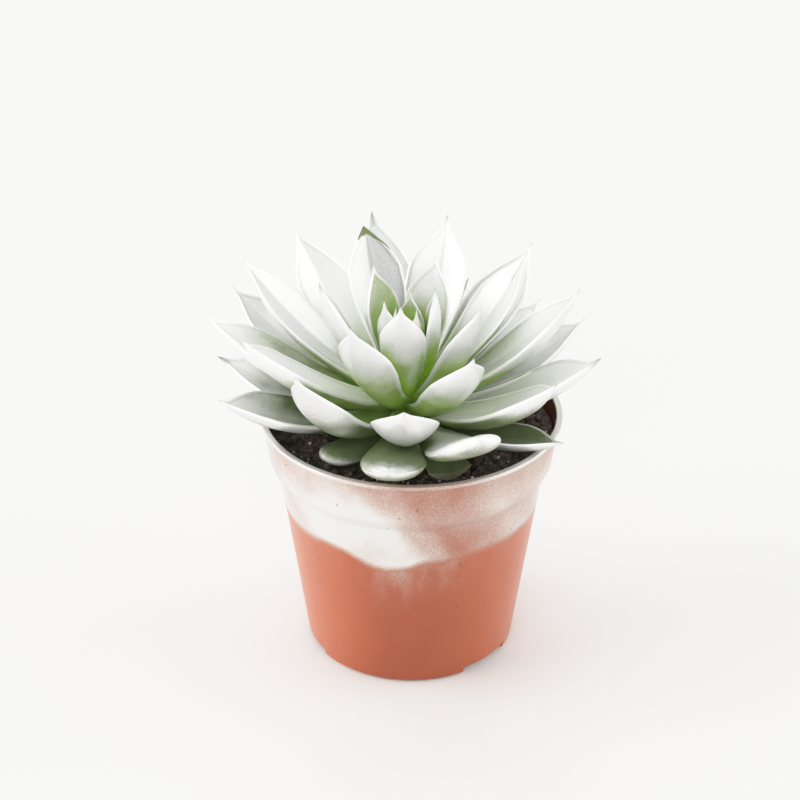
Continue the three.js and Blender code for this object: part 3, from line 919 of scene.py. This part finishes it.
def shaped_leaf(form, shares, angles, fine=True):
    """Points (mm) of a leaf at shares of its length and angles round its section, before it is set down."""
    side = np.cos(angles)
    reach = np.abs(side)
    shares = shares * form["cut"]
    azimuth = math.radians(form["azimuth"])
    outward = np.array((math.sin(azimuth), -math.cos(azimuth), 0))
    across = np.array((math.cos(azimuth), math.sin(azimuth), 0))
    up = np.array((0, 0, 1.0))
    curl = math.radians(form["curl"])
    first = math.radians(form["pitch"]) - curl / 2
    bend = form["length"] / (2 * math.sin(curl / 2))
    angle = first + curl * shares
    along = form["root_radius"] + bend * (np.sin(angle) - math.sin(first))
    height = form["root_height"] - bend * (np.cos(angle) - math.cos(first))
    if fine and not form["plump"]:
        # The end is drawn out into a short sharp point.
        point = POINT_LENGTH * onset(shares, *POINT)
        along, height = along + point * np.cos(angle), height + point * np.sin(angle)
    half, upper, lower = (plump_section if form["plump"] else blade_section)(form, shares, reach, fine)
    lift = np.where(np.sin(angles) >= 0, upper, lower)
    normal = -np.sin(angle)[:, None] * outward + np.cos(angle)[:, None] * up
    middle = along[:, None] * outward + height[:, None] * up
    return middle + (side * half)[:, None] * across + lift[:, None] * normal


def blade_section(form, shares, reach, fine):
    """Half width, upper and lower face of a usual leaf: a channel above and a blunt keel below.

    The margin is rounded over, with a raised bead just inside it, and a crease runs along the middle.
    """
    pointed, rounded = smooth_profile(POINTED, shares), smooth_profile(ROUNDED, shares)
    half = form["half_width"] * (pointed + (rounded - pointed) * form["blunt"])
    thick = form["thickness"] * smooth_profile(FULLNESS, shares)
    rise = form["cup"] * half
    edge = np.minimum(MARGIN_ROUND, 0.16 * thick) * ((1 - reach**10) ** 0.5 - 1)
    bead = np.minimum(BEAD_HEIGHT, 0.035 * half) * np.exp(-(((reach - BEAD_AT) / BEAD_WIDTH) ** 2)) * fine
    crease = -GROOVE_DEPTH * thick * np.exp(-((reach / CREASE_WIDTH) ** 2)) * fine
    droop = TIP_DROOP * onset(shares, *DROOP)
    upper = rise * reach**1.7 + edge + crease + bead - droop
    keel = -GROOVE_DEPTH * thick * np.exp(-((reach / KEEL_WIDTH) ** 2)) * clip(shares * 2 - 0.6)
    lower = rise * reach**2 + edge - thick * (1 - reach**1.7) ** 0.6 + keel - droop
    return half, upper, lower


def plump_section(form, shares, reach, fine):
    """Half width, upper and lower face of a plump old leaf: a dome above, full below, and a round end.

    The end has a shallow cleft in the middle, between two lobes.
    """
    half = form["half_width"] * smooth_profile(ROUNDED, np.minimum(shares, 0.8))
    half = half * (1 - onset(shares, *PLUMP_NARROWS) ** 2.6) ** 0.5
    bulge = (1 - reach**2.4) ** 0.5 * (1 - onset(shares, *PLUMP_END) ** 2) ** 0.5
    cleft = CLEFT_DEPTH * np.exp(-((reach / CLEFT_WIDTH) ** 2)) * onset(shares, *CLEFT)
    middle = -PLUMP_ABOVE * form["thickness"]
    upper = middle + PLUMP_ABOVE * form["thickness"] * bulge - cleft * bulge * fine
    lower = middle - PLUMP_BELOW * form["thickness"] * bulge
    return half, upper, lower


def lean():
    """The matrix that leans the whole rosette and stands it off the pot's axis (mm)."""
    pivot = Matrix.Translation((0, 0, LEAN_PIVOT))
    turn = Matrix.Rotation(math.radians(LEAN_FORWARD), 4, "X")
    turn = turn @ Matrix.Rotation(-math.radians(LEAN_LEFT), 4, "Y")
    return Matrix.Translation(PLANT_AT) @ pivot @ turn @ pivot.inverted()


def moved(points, matrix):
    """Points turned and shifted by a matrix."""
    return points @ np.array(matrix.to_3x3()).T + np.array(matrix.translation)


def set_leaf(form, shares, angles, fine=True):
    """Points (mm) of a leaf where it stands on the plant."""
    return moved(shaped_leaf(form, shares, angles, fine), lean())


class PaintSpray:
    """Works out how much sprayed paint reaches each place on the leaves.

    Paint comes from all round and above. A place catches it by how squarely it faces the spray and by what
    stands in the way.
    """

    def __init__(self, forms):
        rings = np.linspace(0, 1, NET) ** 0.8
        turns = np.linspace(0, math.tau, NET, endpoint=False)
        shares, angles = (a.ravel() for a in np.meshgrid(rings, turns, indexing="ij"))
        points, faces = [], []
        for form in forms:
            base = len(points)
            points.extend(set_leaf(form, shares, angles, False).tolist())
            for start in range(base, base + (NET - 1) * NET, NET):
                for i in range(NET):
                    k = (i + 1) % NET
                    faces.append([start + i, start + k, start + NET + k, start + NET + i])
        self.tree = BVHTree.FromPolygons(points, faces)
        self.beams = []
        for elevation, strength in BEAM_RINGS:
            flat, rise = math.cos(math.radians(elevation)), math.sin(math.radians(elevation))
            count = max(3, round(BEAMS_ROUND * flat))
            for i in range(count):
                turn = math.tau * (i + elevation / 30) / count
                beam = Vector((flat * math.cos(turn), flat * math.sin(turn), rise))
                self.beams.append((beam, strength * flat / count * BEAMS_ROUND))

    def dose(self, point, normal):
        """Paint caught at a place, where 1 is a level face in the open."""
        start = point + BEAM_CLEAR * normal
        caught = 0.0
        for beam, strength in self.beams:
            facing = normal.dot(beam)
            if facing > GRAZING and self.tree.ray_cast(start, beam, BEAM_REACH)[0] is None:
                caught += strength * facing
        return caught / FULL_DOSE

    def doses(self, form, rings, turns):
        """Paint caught on a coarse net over a leaf."""
        step = 0.01
        net = np.meshgrid(np.clip(rings, 0.01, 0.985), turns, indexing="ij")
        shares, angles = (a.ravel() for a in net)
        place = set_leaf(form, shares, angles, False)
        on = set_leaf(form, shares + step, angles, False) - place
        around = set_leaf(form, shares, angles + step, False) - place
        normal = np.cross(around, on)
        normal /= np.linalg.norm(normal, axis=1)[:, None] + 1e-12
        caught = [self.dose(Vector(p), Vector(q)) for p, q in zip(place, normal)]
        return np.array(caught).reshape(len(rings), len(turns))


def between(doses, rings, turns, shares, angles):
    """Doses on a net, read at shares of the length and angles round the section."""
    row = np.clip(np.interp(shares, rings, np.arange(len(rings))), 0, len(rings) - 1.001)
    column = np.clip(angles / math.tau * (len(turns) - 1), 0, len(turns) - 1.001)
    i, j = row.astype(int), column.astype(int)
    a, b = row - i, column - j
    return (
        doses[i, j] * (1 - a) * (1 - b) + doses[i + 1, j] * a * (1 - b)
        + doses[i, j + 1] * (1 - a) * b + doses[i + 1, j + 1] * a * b
    )


def leaf_coat(n, form, shares, angles, caught, wave):
    """What each point of a leaf shows: its paint, how old it is, whether its tip is dried or its crease
    painted with shade, and how much light or shade is painted on its silver.
    """
    side = np.cos(angles)
    above = np.sin(angles) > 0
    half = form["half_width"] * smooth_profile(POINTED, shares)
    from_margin = half * (1 - np.abs(side))  # mm
    from_base = onset(shares, 0.1, 0.15)
    rim = clip(np.where(above, 1.7 - from_margin / 0.65, 1.4 - from_margin / 0.42)) * from_base
    # Just inside the bright rim the upper face dips, and there the silver gets painted shade.
    dip = np.exp(-(((from_margin - 1.4) / 0.38) ** 2)) * from_base * above
    enough = np.where(above, OPEN_FACE / SHELTERED.get(n, 1.0), KEELS.get(n, USUAL_KEEL))
    edged = 0 if form["plump"] else 1.1
    if form["cut"] < 1:
        rim = clip(1.5 - (1 - shares) * form["length"] * form["cut"] / 0.3)
        edged = 0.7
    paint = np.minimum(caught / enough, 3) * (form["cut"] == 1) + edged * rim + 0.25 * wave
    tip = DRY_TIPS.get(n, USUAL_TIP)
    dry_and_crease_shade = onset(shares, 1 - tip, tip) * (0.95 if n in DRY_TIPS else 0 if form["plump"] else 0.6)
    # Painted shade: the dark line in the crease goes in with the dried tips.
    if n in SHADED_CREASES:
        crease_shade = np.exp(-((side * half / 0.35) ** 2)) * onset(shares, 0.8, 0.06)
        dry_and_crease_shade = np.maximum(dry_and_crease_shade, 0.8 * crease_shade * above)
    # A leaf is youngest at its base, where it grows.
    age = clip(max(form["age"], 0) * 1.25 + 0.26 * onset(shares, 0.28, 0.25))
    # Painted light: a painted highlight on the rim, painted shade in the dip, and each leaf's own painted
    # light or shade.
    painted_light = rim - 1.1 * dip + PAINTED_LEAF_LIGHT.get(n, 0)
    if n == TORN:
        # Painted shade: the silver on the right half of its upper face is painted darker.
        painted_light = np.where(above, painted_light - 2.4 * (1 - rim) / (1 + np.exp(14 * side)), painted_light)
    return {"paint": paint, "age": age, "dry_and_crease_shade": dry_and_crease_shade, "painted_light": painted_light}


class SUCCULENT_OT_leaves(bpy.types.Operator):
    """Grows the rosette: one leaf is modelled, then copied, shaped and set by the plant's spiral"""

    bl_idname = "succulent.leaves"
    bl_label = "Leaves"

    AROUND = 40
    ALONG = 44
    SCAR_LOOK = {"paint": 0.0, "painted_light": 0.0, "age": 0.85, "dry_and_crease_shade": 0.25}

    def plain_leaf(self):
        """A closed tube from root to tip, 1 long, that every leaf is shaped from."""
        deselect()
        bpy.ops.mesh.primitive_cylinder_add(
            vertices=self.AROUND, radius=1, depth=1, end_fill_type="NGON", location=(0, 0, 0.5)
        )
        leaf = begin("plain_leaf")
        cut_lengthwise(leaf, self.ALONG - 1)
        return settle(leaf)

    def execute(self, context):
        paint = leaf_material(context.scene.succulent_leaves)
        forms = {n: leaf_form(n) for n in range(YOUNGEST, OLDEST + 1) if n not in MISSING}
        spray = PaintSpray(forms.values())
        plain = self.plain_leaf()
        tube = np.array([v.co for v in plain.data.vertices], float)
        steps = np.round(tube[:, 2] * self.ALONG) / self.ALONG
        angles = np.arctan2(tube[:, 1], tube[:, 0]) % math.tau
        rings, turns = np.linspace(0, 1, 16), np.linspace(0, math.tau, 17)
        for n, form in forms.items():
            leaf = plain.copy()
            leaf.data = plain.data.copy()
            leaf.name = leaf.data.name = f"leaf_{n:02d}" if n >= 0 else f"bud_{-n}"
            context.scene.collection.objects.link(leaf)
            # Rings stand closer together towards the end, and most of all on a round one.
            shares = 1 - (1 - steps) ** (2 if form["plump"] else 1.35)
            points = set_leaf(form, shares, angles)
            leaf.data.vertices.foreach_set("co", (points * MM).ravel())
            leaf.data.update()
            wave = np.array([noise.noise(Vector(p) * 0.09 + Vector((n, 0, 0))) for p in points])
            caught = between(spray.doses(form, rings, turns), rings, turns, shares, angles)
            for name, values in leaf_coat(n, form, shares, angles, caught, wave).items():
                layer = leaf.data.attributes.new(name, "FLOAT", "POINT")
                layer.data.foreach_set("value", values.astype(np.float32))
            self.close_tip(leaf)
            hand_over(leaf, "rosette", paint, 50)
            if n == TORN:
                self.tear(leaf, form)
        bpy.data.objects.remove(plain)
        return {"FINISHED"}

    def close_tip(self, leaf):
        """Draws the tip's ring into one point and turns all faces out."""
        pick(leaf)
        bpy.ops.object.mode_set(mode="EDIT")
        bpy.ops.mesh.select_all(action="SELECT")
        bpy.ops.mesh.remove_doubles(threshold=1e-6)
        face_out()
        bpy.ops.object.mode_set(mode="OBJECT")

    def tear(self, leaf, form):
        """Takes the tip off on a slant, which leaves a flat scar of bare tissue on the inner face."""
        near, far = SCAR
        # Two places on the middle of the upper face, one on a margin, one on the keel.
        shares, angles = np.array((near, far, near, near)), np.array((0.5, 0.5, 1.0, 1.5)) * math.pi
        inner, further, right, behind = (Vector(p) for p in set_leaf(form, shares, angles))
        along = (further - inner).normalized()
        facing = (inner - behind).normalized()
        sideways = (right - inner).normalized()
        slant, lie = math.radians(SCAR_SLANT), math.radians(SCAR_LIE)
        off = (along * math.cos(slant) + sideways * math.sin(slant)) * math.sin(lie) + facing * math.cos(lie)
        pick(leaf)
        bpy.ops.object.mode_set(mode="EDIT")
        bpy.ops.mesh.select_all(action="SELECT")
        bpy.ops.mesh.bisect(plane_co=inner * MM, plane_no=off, use_fill=True, clear_outer=True)
        bpy.ops.mesh.faces_shade_flat()
        bpy.ops.object.mode_set(mode="OBJECT")
        for vertex in leaf.data.vertices:
            if vertex.select:
                for name, value in self.SCAR_LOOK.items():
                    leaf.data.attributes[name].data[vertex.index].value = value


class SUCCULENT_OT_stem(bpy.types.Operator):
    """Models the short stem and the heart that the leaves grow from"""

    bl_idname = "succulent.stem"
    bl_label = "Stem"

    SIDES = 48
    SCARS_FROM = 82

    def execute(self, context):
        corners = (
            (STEM_RADIUS - 1, STEM_FOOT), (STEM_RADIUS, STEM_FOOT + 4), (STEM_RADIUS, 76), (STEM_RADIUS, 85),
            (7.5, 90), (6.0, 94.5), (3.5, 98.5),
        )
        outline = list(corners[:1])
        for (radius, height), (next_radius, next_height) in zip(corners, corners[1:]):
            steps = max(1, round((next_height - height) / STEM_STEP))
            outline += [
                (radius + (next_radius - radius) * i / steps, height + (next_height - height) * i / steps)
                for i in range(1, steps + 1)
            ]
        stem = drawn_ring("stem", self.SIDES, outline, PLANT_AT.x, PLANT_AT.y)
        settle(stem)
        # Old leaf scars run round the upper stem.
        for vertex in stem.data.vertices:
            if vertex.co.z > self.SCARS_FROM * MM:
                out = Vector((vertex.co.x / MM - PLANT_AT.x, vertex.co.y / MM - PLANT_AT.y, 0))
                scars = math.sin(6 * math.atan2(out.y, out.x) + vertex.co.z / MM * 1.4) * 0.25
                vertex.co += out.normalized() * scars * MM
        green = grain_material("green_stem", "#55662f", "#7f8f4a", 0.6)
        hand_over(stem, "rosette", green, 60)
        return {"FINISHED"}


# ---------------- studio


class SUCCULENT_OT_studio(bpy.types.Operator):
    """Sets up the white sweep, the soft light and the camera"""

    bl_idname = "succulent.studio"
    bl_label = "Studio"

    # Name, azimuth and elevation (degrees), spread (degrees), strength.
    LIGHTS = (
        ("left_diffuser", -86, 20, 55, 2.7), ("right_diffuser", 92, 20, 55, 1.6),
        ("front_diffuser", -5, 18, 60, 1.5), ("back_diffuser", -165, 58, 60, 1.15),
    )
    # The camera, fitted to the photograph (mm, degrees).
    DISTANCE = 800
    ELEVATION = 31.41
    PIVOT_HEIGHT = 50
    AIM = (-3.909, 0, 92.922)
    ROLL = 0.131
    SENSOR = 36
    # Light, as a multiple of paper white, and how bright it is shown.
    SHOULDER = ((0.5, 0.53), (0.8, 0.79), (1.0, 0.885), (1.3, 0.96))
    BRIGHTEST = 1.6

    def soft_light(self, name, azimuth, elevation, spread, strength):
        """A broad light far away in a direction (degrees), as a large diffuser gives it."""
        light = bpy.data.lights.new(name, "SUN")
        light.angle, light.energy = math.radians(spread), strength
        lamp = bpy.data.objects.new(name, light)
        level, turn = math.cos(math.radians(elevation)), math.radians(azimuth)
        toward = Vector((level * math.sin(turn), -level * math.cos(turn), math.sin(math.radians(elevation))))
        lamp.rotation_euler = toward.to_track_quat("Z", "Y").to_euler()
        lamp.location = toward
        bpy.context.scene.collection.objects.link(lamp)

    def soft_shoulder(self, view):
        """Lets the whites run out softly instead of clipping, as a high-key photograph does."""
        view.view_transform = "Standard"
        view.look = "None"
        view.use_curve_mapping = True
        curve = view.curve_mapping
        curve.white_level = (self.BRIGHTEST,) * 3
        for light, shown in self.SHOULDER:
            curve.curves[3].points.new(light / self.BRIGHTEST, shown)
        curve.update()

    def execute(self, context):
        settings = context.scene.succulent_studio
        deselect()
        bpy.ops.mesh.primitive_plane_add(size=12, location=(0, 0, -0.0002))
        floor = bpy.context.active_object
        floor.name = "floor"
        settle(floor)
        floor.data.materials.append(stage_material(settings))
        world = bpy.data.worlds.new("even_white")
        world.use_nodes = True
        background = world.node_tree.nodes["Background"]
        fill(world.node_tree, background, {"Color": linear("#fafbff"), "Strength": settings.sky})
        context.scene.world = world
        for light in self.LIGHTS:
            self.soft_light(*light)
        camera = bpy.data.objects.new("camera", bpy.data.cameras.new("camera"))
        camera.data.lens = settings.lens
        camera.data.sensor_width = self.SENSOR
        rise = math.radians(self.ELEVATION)
        height = self.DISTANCE * math.sin(rise) + self.PIVOT_HEIGHT
        eye = Vector((0, -self.DISTANCE * math.cos(rise), height))
        turn = (Vector(self.AIM) - eye).to_track_quat("-Z", "Y").to_matrix().to_4x4()
        turn = turn @ Matrix.Rotation(math.radians(self.ROLL), 4, "Z")
        camera.matrix_world = Matrix.Translation(eye * MM) @ turn
        context.scene.collection.objects.link(camera)
        context.scene.camera = camera
        self.soft_shoulder(context.scene.view_settings)
        return {"FINISHED"}


class SUCCULENT_PT_panel(bpy.types.Panel):
    """Lists the pieces of the potted succulent"""

    bl_label = "Potted Silver Succulent"
    bl_idname = "SUCCULENT_PT_panel"
    bl_space_type = "VIEW_3D"
    bl_region_type = "UI"
    bl_category = "Succulent"

    def draw(self, context):
        for group, operator in PANEL_ROWS:
            box = self.layout.box()
            box.operator(operator)
            if group:
                settings = getattr(context.scene, group)
                for key in type(settings).__annotations__:
                    box.prop(settings, key)


PANEL_ROWS = (
    ("succulent_pot", "succulent.pot"),
    ("succulent_soil", "succulent.soil"),
    (None, "succulent.stem"),
    ("succulent_leaves", "succulent.leaves"),
    ("succulent_studio", "succulent.studio"),
)
GROUPS = {
    "succulent_pot": PotSettings,
    "succulent_soil": SoilSettings,
    "succulent_leaves": LeafSettings,
    "succulent_studio": StudioSettings,
}
CLASSES = (
    *GROUPS.values(), SUCCULENT_OT_pot, SUCCULENT_OT_soil, SUCCULENT_OT_stem, SUCCULENT_OT_leaves,
    SUCCULENT_OT_studio, SUCCULENT_PT_panel,
)


def register():
    for cls in CLASSES:
        bpy.utils.register_class(cls)
    for name, group in GROUPS.items():
        setattr(bpy.types.Scene, name, bpy.props.PointerProperty(type=group))


def unregister():
    for name in GROUPS:
        delattr(bpy.types.Scene, name)
    for cls in reversed(CLASSES):
        bpy.utils.unregister_class(cls)


def main():
    """Builds the plant in its pot."""
    register()
    bpy.ops.succulent.pot()
    bpy.ops.succulent.soil()
    bpy.ops.succulent.stem()
    bpy.ops.succulent.leaves()
    bpy.ops.succulent.studio()


if __name__ == "__main__":
    main()
